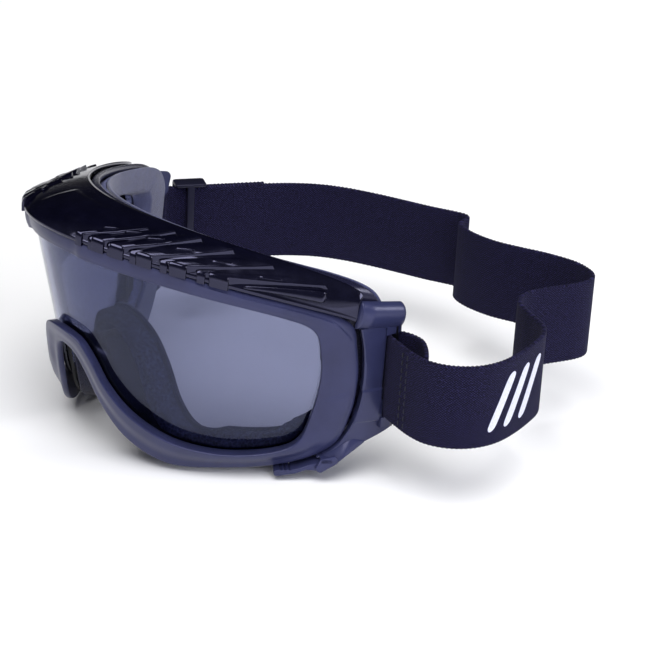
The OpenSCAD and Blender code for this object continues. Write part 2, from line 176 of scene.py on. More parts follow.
FRONT_HALF = [
    *map(crease_at, (0, 20, 40, 58, 70)),
    [75.5, 50], [75.9, 40], [75.3, 27], [73.2, 12], [69.2, -1], [60, -8.3],
    [46, -11], [33, -11], [21.5, -3], [14, 9], [9.5, 21], [5.5, 28], [0, 30.2]]
OPENING_HALF = [
    *(crease_at(x, BROW_BAND) for x in (0, 18, 36, 53, 64.5)),
    [69.2, 47.5], [69.8, 38], [69, 26.5], [66.6, 13], [63.3, 2], [57.5, -2.3],
    [47, -3.4], [35.5, 0.2], [25, 9], [18.3, 19], [14.2, 29.5], [9.5, 36], [0, 38]]
REAR_HALF = [
    [0, 82.5], [19.5, 81], [39, 76.5], [57, 69.5], [68.2, 63],
    [72.8, 55], [73.6, 42], [73.4, 27], [71.4, 11], [66.6, -2], [59, -10],
    [45.5, -13.5], [32, -13.2], [21, -7], [14, 4], [9.5, 18], [5.5, 26], [0, 28.5]]
RIM_HALF = [0, 0, 0, 0, 0, 0, 0, 0, 0.3, 1.6, 2.6, 3, 3, 2.8, 2.3, 1.8, 1.4, 1.2]

STEPS = 14
front_line = spline(mirrored(FRONT_HALF), STEPS, True)
opening_line = spline(mirrored(OPENING_HALF), STEPS, True)
rear_line = spline(mirrored(REAR_HALF), STEPS, True)
rim_line = spline(mirrored([[0, r] for r in RIM_HALF]), STEPS, True)[:, 1]
COUNT = len(front_line)


# ---- Meshes ----

def put(name, data):
    """A new object in the scene."""
    obj = bpy.data.objects.new(name, data)
    bpy.context.scene.collection.objects.link(obj)
    return obj


def make_mesh(name, points, faces, material, uv=None, flat_angle=None):
    """A mesh piece from points in drawing millimetres."""
    mesh = bpy.data.meshes.new(name)
    placed = (np.asarray(points, float) + DRAWING) * MM
    mesh.from_pydata(placed.tolist(), [], [list(map(int, f)) for f in faces])
    mesh.validate()
    if uv is not None:
        layer = mesh.uv_layers.new(name="UVMap")
        index = np.zeros(len(mesh.loops), int)
        mesh.loops.foreach_get("vertex_index", index)
        layer.data.foreach_set("uv", np.asarray(uv, float)[index].ravel())
    mesh.polygons.foreach_set("use_smooth", [True] * len(mesh.polygons))
    if flat_angle is not None:
        mesh.set_sharp_from_angle(angle=math.radians(flat_angle))
    mesh.materials.append(material)
    return put(name, mesh)


def quads(rows, cols, closed):
    """Quad faces from each ring of points to the next; closed joins the last to the first."""
    row = np.arange(rows if closed else rows - 1)[:, None] * cols
    above = (row + cols) % (rows * cols)
    here = np.arange(cols)
    beside = (here + 1) % cols
    corners = (row + here, row + beside, above + beside, above + here)
    return np.stack(corners, -1).reshape(-1, 4).tolist()


def rounded(rings, radii, cuts=4):
    """Rounds the corners of a closed section. rings[k][i] is corner k at place i."""
    rings = np.asarray(rings, float)
    out = []
    for k in range(len(rings)):
        here, before, after = rings[k], rings[k - 1], rings[(k + 1) % len(rings)]
        reach = np.minimum(np.linalg.norm(before - here, axis=-1),
                           np.linalg.norm(after - here, axis=-1)) * 0.48
        r = np.minimum(radii[k], reach)[..., None]
        a, b = here + unit(before - here) * r, here + unit(after - here) * r
        for t in np.linspace(0, 1, cuts + 1):
            out.append((1 - t) ** 2 * a + 2 * t * (1 - t) * here + t * t * b)
    return np.array(out)


def ring_piece(name, rings, material):
    """A closed tube from closed rings that follow one another round the section."""
    m, n = rings.shape[:2]
    return make_mesh(name, rings.reshape(-1, 3), quads(m, n, True), material)


def loft(name, sections, material, uv=None, flat_angle=None):
    """A solid through closed sections, capped at both ends."""
    sections = np.asarray(sections, float)
    m, n = sections.shape[:2]
    faces = quads(m, n, False)
    faces.append(list(range(n))[::-1])
    faces.append([(m - 1) * n + i for i in range(n)])
    return make_mesh(name, sections.reshape(-1, 3), faces, material, uv, flat_angle)


def flip(points, side):
    """The points, or their mirror image for the wearer's right."""
    out = np.array(points, float)
    out[..., 0] *= side
    return out


def join(name, pieces):
    """Several meshes made into one piece."""
    for o in bpy.context.selected_objects:
        o.select_set(False)
    for o in pieces:
        o.select_set(True)
    bpy.context.view_layer.objects.active = pieces[0]
    bpy.ops.object.join()
    pieces[0].name = name
    pieces[0].data.name = name
    return pieces[0]


def finish_piece(obj, body, node):
    """Turns the faces outwards, puts the piece on its body and hides the CAD node it replaces."""
    bm = bmesh.new()
    bm.from_mesh(obj.data)
    bmesh.ops.recalc_face_normals(bm, faces=bm.faces)
    bm.to_mesh(obj.data)
    bm.free()
    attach(obj, body)
    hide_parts(node)
    return obj


# ---- Materials ----

def shade(base, factor):
    return tuple(min(1.0, c * factor) for c in base)


class Nodes:
    """A small helper for node materials. An underscore stands for a space in a socket's name."""

    def __init__(self, name, **sockets):
        self.material = bpy.data.materials.new(name)
        self.material.use_nodes = True
        self.tree = self.material.node_tree
        self.bsdf = self.tree.nodes["Principled BSDF"]
        for key, value in {"Roughness": 0.5, **sockets}.items():
            self.feed(self.bsdf.inputs[key.replace("_", " ")], value)

    def feed(self, socket, value):
        """Sets a socket, or links it where the value is another node's output."""
        if isinstance(value, bpy.types.NodeSocket):
            self.tree.links.new(value, socket)
        else:
            socket.default_value = value

    def add(self, kind, **values):
        """A node; each value goes to the socket of that name, or else to the node's setting."""
        node = self.tree.nodes.new("ShaderNode" + kind)
        for key, value in values.items():
            socket = node.inputs.get(key.replace("_", " "))
            if socket is None:
                setattr(node, key, value)
            else:
                self.feed(socket, value)
        return node

    def place(self, uv=False):
        return self.add("TexCoord").outputs["UV" if uv else "Object"]

    def noise(self, where, scale, detail=4.0, roughness=0.6, distortion=0.0):
        return self.add("TexNoise", Vector=where, Scale=scale, Detail=detail,
                        Roughness=roughness, Distortion=distortion).outputs["Fac"]

    def span(self, value, low, high, start=0.0, end=1.0):
        """A pattern's start to end, stretched to low to high."""
        return self.add("MapRange", Value=value, From_Min=start, From_Max=end, To_Min=low,
                        To_Max=high).outputs["Result"]

    def math(self, operation, a, b):
        node = self.add("Math", operation=operation)
        for socket, value in zip(node.inputs, (a, b)):
            self.feed(socket, value)
        return node.outputs[0]

    def colour(self, base, pattern, tones):
        """The base colour times a factor that follows a pattern, as (place, factor) stops."""
        node = self.add("ValToRGB", Fac=pattern)
        band = node.color_ramp
        while len(band.elements) < len(tones):
            band.elements.new(0.5)
        for element, (at, factor) in zip(band.elements, tones):
            element.position = at
            element.color = (*shade(base, factor), 1)
        self.feed(self.bsdf.inputs["Base Color"], node.outputs["Color"])

    def surface(self, gloss, rough, relief, strength, distance):
        """Roughness from one pattern, a bump from another."""
        self.feed(self.bsdf.inputs["Roughness"], self.span(gloss, *rough))
        bump = self.add("Bump", Strength=strength, Distance=distance, Height=relief)
        self.feed(self.bsdf.inputs["Normal"], bump.outputs["Normal"])
        return self.material


def satin_plastic(name, base, rough):
    """Moulded nylon: a fine grain, slightly uneven gloss."""
    m = Nodes(name, IOR=1.5, Specular_Tint=(0.72, 0.72, 1.0, 1))
    where = m.place()
    m.colour(base, m.noise(where, 60, 3), [(0.3, 0.85), (0.7, 1.15)])
    grain = m.noise(where, 2600, 2, 0.7)
    return m.surface(grain, (rough - 0.05, rough + 0.07), grain, 0.16, 0.00006)


def gloss_plastic(name, base, rough):
    """Polished moulding with faint handling haze."""
    m = Nodes(name, IOR=1.64, Specular_Tint=(0.64, 0.64, 1.0, 1))
    where = m.place()
    haze = m.noise(where, 140, 5, 0.65)
    m.colour(base, haze, [(0.35, 0.8), (0.7, 1.25)])
    return m.surface(haze, (rough - 0.04, rough + 0.09, 0.3, 0.75), m.noise(where, 90, 2),
                     0.12, 0.0003)


def tinted_glass(name):
    """Smoke tinted polycarbonate, seen through."""
    m = Nodes(name, IOR=1.5, Base_Color=(0.2, 0.215, 0.335, 1), Transmission_Weight=1.0,
              Specular_Tint=(0.62, 0.68, 1.0, 1))
    smear = m.noise(m.place(), 45, 3, 0.5)
    m.feed(m.bsdf.inputs["Roughness"], m.span(smear, 0.004, 0.015, 0.35, 0.75))
    return m.material


def rubber(name, base):
    m = Nodes(name, IOR=1.45)
    where = m.place()
    m.colour(base, m.noise(where, 120, 2), [(0.3, 0.8), (0.7, 1.3)])
    grain = m.noise(where, 1800, 3, 0.6)
    return m.surface(grain, (0.55, 0.75), grain, 0.3, 0.00012)


def open_foam(name, base, cell=900):
    """Open cell foam: pits of many sizes and pale cell walls."""
    m = Nodes(name, IOR=1.4)
    where = m.place()
    cells = m.add("TexVoronoi", Vector=where, Scale=cell).outputs["Distance"]
    fine = m.noise(where, cell * 2.2, 3, 0.7)
    mixed = m.math("ADD", m.math("MULTIPLY", cells, 0.7), m.math("MULTIPLY", fine, 0.5))
    m.colour(base, mixed, [(0.3, 0.6), (0.55, 1), (0.85, 1.8)])
    return m.surface(fine, (0.85, 1.0), mixed, 0.5, 0.0004)


def fleece(name, base):
    """Soft brushed lining."""
    m = Nodes(name, Sheen_Weight=0.35, Sheen_Roughness=0.5)
    where = m.place()
    m.colour(base, m.noise(where, 500, 4, 0.7), [(0.3, 0.75), (0.7, 1.3)])
    pile = m.noise(where, 2200, 4, 0.75, 0.6)
    return m.surface(pile, (0.85, 1.0), pile, 0.6, 0.0003)


def elastic_webbing(name, base):
    """Knitted elastic. The UV map holds centimetres along and across the strap."""
    m = Nodes(name, IOR=1.4, Sheen_Weight=0.03, Sheen_Roughness=0.5,
              Sheen_Tint=(0.5, 0.5, 0.9, 1), Specular_IOR_Level=0.2)
    uv = m.place(uv=True)
    parts = m.add("SeparateXYZ", Vector=uv).outputs
    # Fine knitted courses along the strap, crossed by the picks of the cover yarn
    cords, picks = (m.math("SINE", m.math("MULTIPLY", parts[axis], 2 * math.pi * per_cm), 0)
                    for axis, per_cm in (("Y", 10), ("X", 9)))
    fuzz = m.noise(uv, 15, 4, 0.75, 0.4)
    height = m.math("ADD", m.math("MULTIPLY", m.math("MULTIPLY", cords, picks), 0.16), fuzz)
    m.colour(base, height, [(0.34, 0.2), (0.5, 1), (0.68, 4.5)])
    return m.surface(fuzz, (0.85, 1.0), height, 0.7, 0.0004)


def thread_cloth(name, base):
    m = Nodes(name)
    where = m.place()
    twist = m.add("TexWave", Vector=where, Scale=900.0, Distortion=1.0).outputs["Fac"]
    m.colour(base, twist, [(0.2, 0.7), (0.8, 1.4)])
    return m.surface(m.noise(where, 1500), (0.6, 0.8), twist, 0.4, 0.0001)


def printed(name, base):
    """Screen print on knitted cloth: the weave shows through."""
    m = Nodes(name)
    weave = m.noise(m.place(), 1500, 3, 0.7)
    m.colour(base, weave, [(0.28, 0.72), (0.5, 1)])
    return m.surface(weave, (0.55, 0.75), weave, 0.35, 0.00012)


def brushed_metal(name, base):
    m = Nodes(name, Metallic=1.0)
    stretched = m.add("Mapping", Vector=m.place(), Scale=(1, 1, 0.05)).outputs["Vector"]
    lines = m.noise(stretched, 1800, 3)
    m.colour(base, lines, [(0.3, 0.8), (0.7, 1.15)])
    return m.surface(lines, (0.25, 0.45), lines, 0.2, 0.00005)


def paper(name, base):
    """The plain floor: very faint mottling."""
    m = Nodes(name, Roughness=0.9)
    m.colour(base, m.noise(m.place(), 6, 3), [(0.3, 0.99), (0.7, 1)])
    return m.material


SATIN = satin_plastic("satin_frame_plastic", (0.024, 0.027, 0.072), 0.3)
# The rear frame's plastic is painted darker than the front frame's as painted shade: it fills the
# seam between the front frame and the brackets, so that the seam reads black
REAR_SATIN_SEAM_SHADE = satin_plastic("rear_frame_plastic_painted_seam_shade", (0.01, 0.01, 0.026), 0.26)
GLOSS = gloss_plastic("gloss_brow_plastic", (0.002, 0.002, 0.007), 0.1)
GLASS = tinted_glass("smoke_lens")
GASKET = rubber("gasket_rubber", (0.008, 0.008, 0.01))
FOAM = open_foam("face_foam_cells", (0.085, 0.092, 0.175))
VENT = open_foam("vent_foam_cells", (0.015, 0.015, 0.018), 1100)
LINING = fleece("fleece_lining", (0.036, 0.041, 0.11))
WEBBING = elastic_webbing("knitted_elastic", (0.0058, 0.0052, 0.018))
THREAD = thread_cloth("dark_thread", (0.008, 0.008, 0.02))
PRINT = printed("pale_print", (0.66, 0.67, 0.84))
STEEL = brushed_metal("blackened_steel", (0.07, 0.07, 0.085))
SLIDER = satin_plastic("slider_plastic", (0.005, 0.005, 0.014), 0.45)


# ---- Lens and gasket ----

def build_lens():
    low = spline([[0, 36], [7, 35], [12, 28.5], [16.3, 18], [23, 7.2], [34, -1.6],
                  [46.5, -5.4], [58, -4.4], [64.5, 0], [68, 10], [71.2, 22]], 8)
    cols, rows = 180, 26
    x = denser_at_ends(LENS_HALF, cols)
    bottom = np.interp(np.abs(x), low[:, 0], low[:, 1])
    top = crease_z(x) - BROW_BAND + LENS_LAP - 3.2 * (np.abs(x) / LENS_HALF) ** 8
    # Over the edge the section closes in a half round
    sections = []
    edge = 0.7
    middle, half = (LENS_FRONT + LENS_BACK) / 2, (LENS_FRONT - LENS_BACK) / 2
    for i in range(cols + 1):
        low_z, high_z = bottom[i] + edge, top[i] - edge
        z = np.linspace(low_z, high_z, rows)
        arc = np.linspace(0, np.pi, 7)[1:-1]
        up = [(high_z + edge * math.sin(a), middle + half * math.cos(a)) for a in arc]
        down = [(low_z - edge * math.sin(a), middle - half * math.cos(a)) for a in arc]
        line = np.array([(v, LENS_FRONT) for v in z] + up
                        + [(v, LENS_BACK) for v in z[::-1]] + down)
        sections.append(on_front(np.stack([np.full(len(line), x[i]), line[:, 0]], 1), line[:, 1]))
    lens = loft("lens_pane", sections, GLASS)
    return finish_piece(lens, "lens", "lens")


def build_gasket():
    outer, inner = inset(front_line, 3.4), inset(opening_line, -0.6)
    top = LENS_BACK - 0.1
    rings = [on_front(outer, top - GASKET_T), on_front(outer, top),
             on_front(inner, top), on_front(inner, top - GASKET_T)]
    piece = ring_piece("gasket_ring", rounded(rings, [0.4] * 4, 3), GASKET)
    return finish_piece(piece, "lens", "lens_gasket")


# ---- Front frame ----

# A raised line crosses the frame's side and the bracket at this height
STEP_Z = 22.6
STEP_RISE = 0.45
# Between the two groups of louvres the band lies this much lower, inside the first width
# and not outside the second
DIP, DIP_HALF, DIP_END = 1.15, 15.8, 18.8


def build_front_frame():
    """Section from the back outer corner over the face to the rim and down to the lens."""
    across = opening_line - front_line
    width = np.linalg.norm(across, axis=1)
    way = across / width[:, None]
    rim = rim_line

    half_x = np.abs(front_line[:, 0])
    dip = DIP * smooth(DIP_END, DIP_HALF, half_x) * (front_line[:, 1] > 60)

    def at(a, d):
        d = d * np.ones(COUNT)
        d = np.where(d > -1.5, np.maximum(d - dip, np.minimum(d, -1.8)), d)
        return on_front(front_line + way * np.asarray(a * np.ones(COUNT))[:, None], d)

    side = smooth(56, 70, half_x) * smooth(-12, 4, front_line[:, 1])

    def step(away):
        """The part of the side below a slanting line stands a little proud."""
        p = front_line + way * away[:, None]
        x = np.abs(p[:, 0])
        line = STEP_Z - 3 + 0.6 * (x - 70)
        return STEP_RISE * (1 - smooth(line - 0.5, line + 0.5, p[:, 1])) * smooth(66, 71, x)

    crown = 0.35 + 0.25 * side
    # A broad bevel along the top edge, towards the outer corners
    bevel = 0.4 + 1.3 * smooth(38, 60, half_x) * smooth(42, 50, front_line[:, 1])
    rings = [at(0.35, -FRAME_T), at(0.0, -FRAME_T + 0.35), at(0.0, -0.25 - 0.7 * bevel),
             at(0.1, -0.1 - 0.62 * bevel), at(bevel * 0.9, -0.06), at(bevel + 0.2, 0.03)]
    # The face rises in a soft crown, then climbs to the ridge where there is one
    for s in np.linspace(0.16, 0.74, 9):
        climb = smooth(0.25, 0.8, s)
        away = np.maximum(width * s, bevel + 0.3)
        rings.append(at(away, crown * math.sin(math.pi * s) * (1 - climb * rim / 3)
                        + rim * 0.86 * climb + step(away)))
    ridge = width - 0.75
    rings += [at(ridge, rim * 0.98), at(ridge + 0.3, rim), at(ridge + 0.48, rim - 0.04),
              at(width - 0.14, rim - 0.16), at(width - 0.03, rim - 0.4), at(width, rim - 0.8),
              at(width, -FRAME_T + 0.3), at(width - 0.3, -FRAME_T)]
    piece = ring_piece("front_frame_shell", np.array(rings), SATIN)
    return finish_piece(piece, "front", "front_frame")


# ---- Brow cap and its ribs ----

# Each louvre's bright outer edge: width at the crease, width at its rear end, and how far
# back over the cap that end lies (0 to 1)
LOUVRES = [(20.4, 28.7, 0.56), (26.4, 34.0, 0.70), (31.8, 40.3, 0.74), (38.8, 48.5, 0.70),
           (46.4, 58.1, 0.60), (54.7, 69.3, 0.47)]
# The first louvre's inner edge, and how wide a louvre may be
FIRST_EDGE = (15.5, 25.0, 0.56)
LOUVRE_W = 7.5
LOUVRE_RISE = 2.35
# The heads' front: how far the round goes back, and how far down
HEAD_NOSE = (1.3, 2.6)
CAP_TOP = CAP_T + CAP_GAP


def build_cap_shell():
    t = np.linspace(0, 1, 30) ** 1.15
    sections = []
    for v in denser_at_ends(CAP_HALF - 0.08, 240):
        thick = CAP_T * (0.35 + 0.65 * math.sqrt(max(0.0, 1 - (abs(v) / CAP_HALF) ** 10)))
        # A faintly raised panel in the middle
        panel = smooth(11.6, 10.4, abs(v)) * smooth(0.2, 0.24, t) * smooth(0.74, 0.70, t)
        upper = on_cap(v, t, thick + 0.3 * panel)
        lower = on_cap(v, t[::-1], 0)
        front = on_cap(v, 0, thick)
        # A rounded nose over the crease and a thin rear lip
        nose = [front + [0, -0.3, -0.15], front + [0, -0.5, -0.5], front + [0, -0.5, -1.0],
                front + [0, -0.3, -1.35]]
        sections.append(np.vstack([lower[-1:], np.array(nose)[::-1], upper, lower[:-1]]))
    return loft("cap_shell", sections, GLOSS)


def edge_width(edge, t):
    """Width of a louvre's outer edge where it is t of the way back over the cap."""
    start, end, depth = edge
    s = t / depth
    return start + (end - start) * (s + 0.1 * np.sin(np.pi * np.clip(s, 0, 1)))


def sweep(name, path, up, half_width, height, sink, side):
    """A bar along a path on a surface: a rounded trapezoid whose size changes on the way."""
    way = unit(np.gradient(path, axis=0))
    across = unit(np.cross(way, up))
    top = unit(np.cross(across, way))
    shape = [(-1.25, -1), (-1.12, 0.1), (-1.0, 0.62), (-0.86, 0.88), (-0.62, 0.99), (0, 1.03),
             (0.62, 0.99), (0.86, 0.88), (1.0, 0.62), (1.12, 0.1), (1.25, -1)]
    sections = []
    for p, s, n, w, h, d in zip(path, across, top, half_width, height, sink):
        sections.append([p + s * a * w + n * b * (h if b > 0 else d) for a, b in shape])
    return loft(name, flip(sections, side), GLOSS)


def surface_up(x, t):
    """The cap's normal at (x, t)."""
    e = 0.01
    a = on_cap(x + e, t) - on_cap(x - e, t)
    b = on_cap(x, np.minimum(t + e, 1)) - on_cap(x, np.maximum(t - e, 0))
    n = unit(np.cross(a, b))
    return n * np.sign(n[..., 2:3])


def quarter(v):
    """A quarter round that climbs from 0 to 1."""
    return np.sqrt(np.maximum(0, 1 - (1 - np.clip(v, 0, 1)) ** 2))


def end_round(s, front, back):
    """1 along the bar, falling in a quarter round at both ends."""
    return quarter(s / front) * quarter((1 - s) / back)


def plate_rise(t):
    """How far a louvre's outer edge stands over the cap: its top runs almost straight back."""
    return LOUVRE_RISE - 0.8 * bulge(t)


def louvre(k, side):
    """A plate that rises from its inner edge to a crisp outer edge, like a shingle."""
    edge = LOUVRES[k]
    inner = LOUVRES[k - 1] if k else FIRST_EDGE
    depth = edge[2]
    t = np.concatenate([np.linspace(0, 0.06, 4), np.linspace(0.1, depth * 0.94, 22),
                        depth * np.array([0.97, 0.985, 0.995, 1.0])])
    sections = []
    for v in t:
        x_out = edge_width(edge, v)
        x_in = max(edge_width(inner, v) + 0.5, x_out - LOUVRE_W)
        s = v / depth
        # A step up near the middle of the plate, and a square fall at its rear end
        top = plate_rise(v) * (1 + 0.22 * smooth(0.5, 0.55, s))
        top *= 1 - 0.85 * smooth(0.985, 1.0, s)
        u = np.array([0, 0.15, 0.4, 0.65, 0.85])
        rise = np.array([0.05, 0.34, 0.66, 0.86, 0.96]) * top
        x = np.concatenate([x_in + (x_out - x_in) * u,
                            x_out + np.array([-0.25, -0.05, 0.1, 0.18, 0.24, 0.45]),
                            [x_in - 0.1]])
        h = np.concatenate([rise, top * np.array([1, 0.97, 0.87, 0.65, 0.3]), [-0.6, -0.6]])
        sections.append(on_cap(x, np.full(len(x), v), CAP_TOP + h))
    return loft(f"louvre_{k}", flip(sections, side), GLOSS, flat_angle=45)


def cap_spot(x, back, up):
    """A point at width x, so far behind the crease, or in front of it where that is negative."""
    if back >= 0:
        return on_cap(x, back / lip_back(x), up)
    p = on_front(crease_at(x), -back * np.ones(len(x)))
    p[:, 2] += CAP_GAP + up
    return p


def head(k, side, x0, width, length, tall, overhang):
    """A knob where louvre k starts: a steep rounded front over the crease, a level top."""
    start, end, depth = LOUVRES[k]
    slope = 1.25 * (end - start) / (depth * CAP_DEPTH)
    turn = np.linspace(0, np.pi / 2, 10)
    nose = -overhang + HEAD_NOSE[0] * (1 - np.cos(turn))
    tail = np.linspace(nose[-1], length - overhang, 12)[1:]
    fall = np.concatenate([HEAD_NOSE[1] * (1 - np.sin(turn)),
                           0.9 * (1 - quarter((length - overhang - tail) / 1.2))])
    u = np.sin(np.linspace(-1, 1, 17) * np.pi / 2)
    edge = 0.6 * (1 - np.sqrt(1 - np.abs(u) ** 5))
    sections = []
    for v, down in zip(np.concatenate([nose, tail]), fall):
        x = x0 + slope * max(v, 0) + width / 2 * (1 - 0.05 * down) * u
        high = tall * (LOUVRE_RISE - 0.8 * bulge(max(v, 0) / lip_back(x))) - down - edge
        low = np.full(len(u), -0.5 - CAP_TOP * smooth(0.8, -0.2, v))
        top = cap_spot(x, v, CAP_TOP + high)
        foot = cap_spot(x[::-1], v, CAP_TOP + low)
        sections.append(np.vstack([top, foot]))
    return loft("head", flip(sections, side), GLOSS, flat_angle=50)


def build_ribs():
    bars = []
    for side in (1, -1):
        for k, (start, end, depth) in enumerate(LOUVRES):
            bars.append(louvre(k, side))
            bars.append(head(k, side, start - 1.8, 3.8 if k else 2.2, 5.6, 1.05, 1.2))
            if k:
                between = start - 0.64 * (start - LOUVRES[k - 1][0])
                bars.append(head(k, side, between, 1.7, 3.6, 0.75, 1.0))
            # A short raised dash on the plate, behind its middle
            ts = np.linspace(depth * 0.46, depth * 0.62, 12)
            xs = edge_width(LOUVRES[k], ts) - np.linspace(4.4, 2.6, 12)
            ends = end_round(np.linspace(0, 1, 12), 0.12, 0.3)
            lie = CAP_TOP + 0.62 * plate_rise(ts)
            bars.append(sweep(f"dash_{k}", on_cap(xs, ts, lie), surface_up(xs, ts),
                              0.4 * (0.3 + 0.7 * ends), 0.42 * (0.2 + 0.8 * ends),
                              np.full(12, 0.6), side))
        # The long wedge that ends each cluster, next to the frame's outer corner
        ss = np.linspace(0, 1, 30)
        xs, ts = 57.4 + 13.3 * ss, 0.01 + 0.21 * ss
        ends = end_round(ss, 0.08, 0.06)
        bars.append(sweep("wedge", on_cap(xs, ts, CAP_TOP - 0.4), surface_up(xs, ts),
                          (0.5 + 1.7 * ss) * (0.3 + 0.7 * ends),
                          (0.7 + 1.3 * ss) * (0.15 + 0.85 * ends), np.full(30, 0.8), side))
    return bars


def build_brow_cap():
    cap = join("brow_cap_ribbed", [build_cap_shell()] + build_ribs())
    return finish_piece(cap, "front", "brow_cap")


# ---- Rear frame ----

def rear_wall_point(t, step):
    f = on_front(front_line + (opening_line - front_line) * 0.12, REAR_FRONT_D)
    r = at_depth(rear_line, rear_y(rear_line))
    top = np.clip((r[:, 2:] - 48) / 14, 0, 1)
    free = f + (r - f) * t
    x = r[:, 0]
    lip_y = on_front(crease_at(x))[:, 1] + lip_back(x)
    lip_z = crease_z(x) + lip_rise(x)
    tucked = np.stack([x, lip_y + 0.6 + 0.5 * step, lip_z - 2.4 + 2.4 * step], 1)
    return free + (tucked - free) * top


def build_rear_frame():
    inner_front = front_line + (opening_line - front_line) * 0.5
    inner_rear = inset(rear_line, REAR_WALL)
    low, high = rear_wall_point(0.45, 0), rear_wall_point(0.55, 1)
    rim = at_depth(rear_line, rear_y(rear_line))
    inner_rim = at_depth(inner_rear, rear_y(rear_line))
    drop = np.where(inner_rear[:, 1] > 60, low[:, 2] - REAR_WALL, 1e3)
    inner_middle = np.stack([inner_rear[:, 0], low[:, 1],
                             np.minimum(inner_rear[:, 1], drop)], 1)
    rings = [on_front(inner_front, REAR_FRONT_D), inner_middle, inner_rim, rim, high, low,
             on_front(front_line + (opening_line - front_line) * 0.12, REAR_FRONT_D)]
    piece = ring_piece("rear_frame_shell", rounded(rings, [0.5, 0.8, 0.6, 0.9, 1.6, 1.0, 0.7], 4),
                       REAR_SATIN_SEAM_SHADE)
    return finish_piece(piece, "frame", "rear_frame")


# ---- Foam and lining ----

FOAM_W, FOAM_BACK, FOAM_T, FOAM_TAPER, FOAM_AIR = 10.0, 3.0, 8.5, 3.2, 0.6
LINING_T = 1.5
TURN_DEPTH = 7.0
CHEEK_EXTRA, TEMPLE_EXTRA = 4.0, 2.0


def cheek(p):
    """1 under the eyes, where the ring is wider."""
    return np.clip((12 - p[:, 1]) / 12, 0, 1) * np.clip((np.abs(p[:, 0]) - 24) / 14, 0, 1)


def temple(p):
    """1 beside the eyes, where the ring reaches further back."""
    return np.clip((np.abs(p[:, 0]) - 48) / 12, 0, 1) * np.clip((p[:, 1] - 36) / 14, 0, 1)


def foam_section(y0, y1, taper):
    """The ring's four corner lines: outer back, outer front, inner front, inner back."""
    outer, front_outer, inner = (inset(rear_line, v) for v in (
        REAR_WALL + 0.3, REAR_WALL + 0.3 + taper, FOAM_W + CHEEK_EXTRA * cheek(rear_line)))
    rise = TEMPLE_EXTRA * temple(rear_line)

    def back(p):
        return at_depth(p, rear_y(p) + y1 + rise)

    def front(p):
        size = np.sqrt((2 * WRAP * p[:, 0]) ** 2 + 1)
        behind = on_front(p)[:, 1] - (REAR_FRONT_D - FOAM_AIR) * size
        lift = rise if y0 > 0 else 0
        return at_depth(p, np.maximum(rear_y(p) + y0, behind) + lift)

    return [back(outer), front(front_outer), front(inner), back(inner)]


def build_foam():
    rings = foam_section(FOAM_BACK - FOAM_T, FOAM_BACK, FOAM_TAPER)
    piece = ring_piece("face_foam_ring", rounded(rings, [1.6, 1.2, 1.8, 2.2], 5), FOAM)
    finish_piece(piece, "frame", "face_foam")
    return piece


def build_lining():
    """A flat ring on the foam. Beside the eyes it turns over and covers the foam's inner wall."""
    outer, outer_front, inner, inner_back = foam_section(FOAM_BACK + 0.25,
                                                         FOAM_BACK + LINING_T, 0.0)
    foam_front = foam_section(FOAM_BACK - FOAM_T, FOAM_BACK, FOAM_TAPER)[2][:, 1]
    beside = smooth(38, 50, np.abs(rear_line[:, 0])) * smooth(20, 34, rear_line[:, 1])
    start = inner[:, 1]
    lip = start - 0.4
    low = np.maximum(lip - TURN_DEPTH * beside, np.minimum(foam_front + 0.6, lip))
    width = FOAM_W + CHEEK_EXTRA * cheek(rear_line)
    wall, face = inset(rear_line, width + 0.2), inset(rear_line, width + 1.1)
    rings = [outer, outer_front, at_depth(wall, start), at_depth(wall, low),
             at_depth(face, low), at_depth(face, inner_back[:, 1])]
    piece = ring_piece("soft_lining", rounded(rings, [1.1, 0.4, 0.1, 0.25, 0.3, 0.9], 4),
                       LINING)
    finish_piece(piece, "frame", "face_lining")
    return piece


# ---- Brackets, bars and tabs ----

PANEL_T = 4.2
PANEL_ROWS = [
    [48.3, [78.0, 12.8], [78.5, 24.8]],
    [46, [78.2, 13.4], [BRACKET_X, 24.8]],
    [40, [78.4, 14.6], [BRACKET_X, 24.8]],
    [33, [78.2, 15.4], [BRACKET_X, 24.6]],
    [27, [77.8, 15.7], [BRACKET_X, 24.4]],
    [18, [76.6, 15.4], [78.4, 24.2]],
    [10.4, [74.9, 14.4], [78.2, 24.2]],
    [9.4, [74.6, 14.2], [78.0, 31.4]],
    [5, [73.0, 12.8], [77.0, 30.0]],
    [0, [71.0, 10.6], [74.0, 20.5]],
    [-4, [68.2, 7.4], [70.5, 13.5]],
    [-5.8, [66.0, 4.6], [68.2, 9.5]]]
ROLL = {"x": 74.2, "y0": 9.5, "y1": 32.8, "z0": 54.1, "r": 5.4, "slope": math.radians(12),
        "cut": 12.2}
TAIL_R = 2.6
HUB_R = 1.7
TAB_PIVOT = np.array([66.6, 6.0, -8.0])
TAB_HEADING = math.radians(-122)
TAB_W = 6.5
TAB_REACH = 17.0
EAR_T = 1.2
EAR_AT = TAB_W / 2 + 0.35 + EAR_T / 2


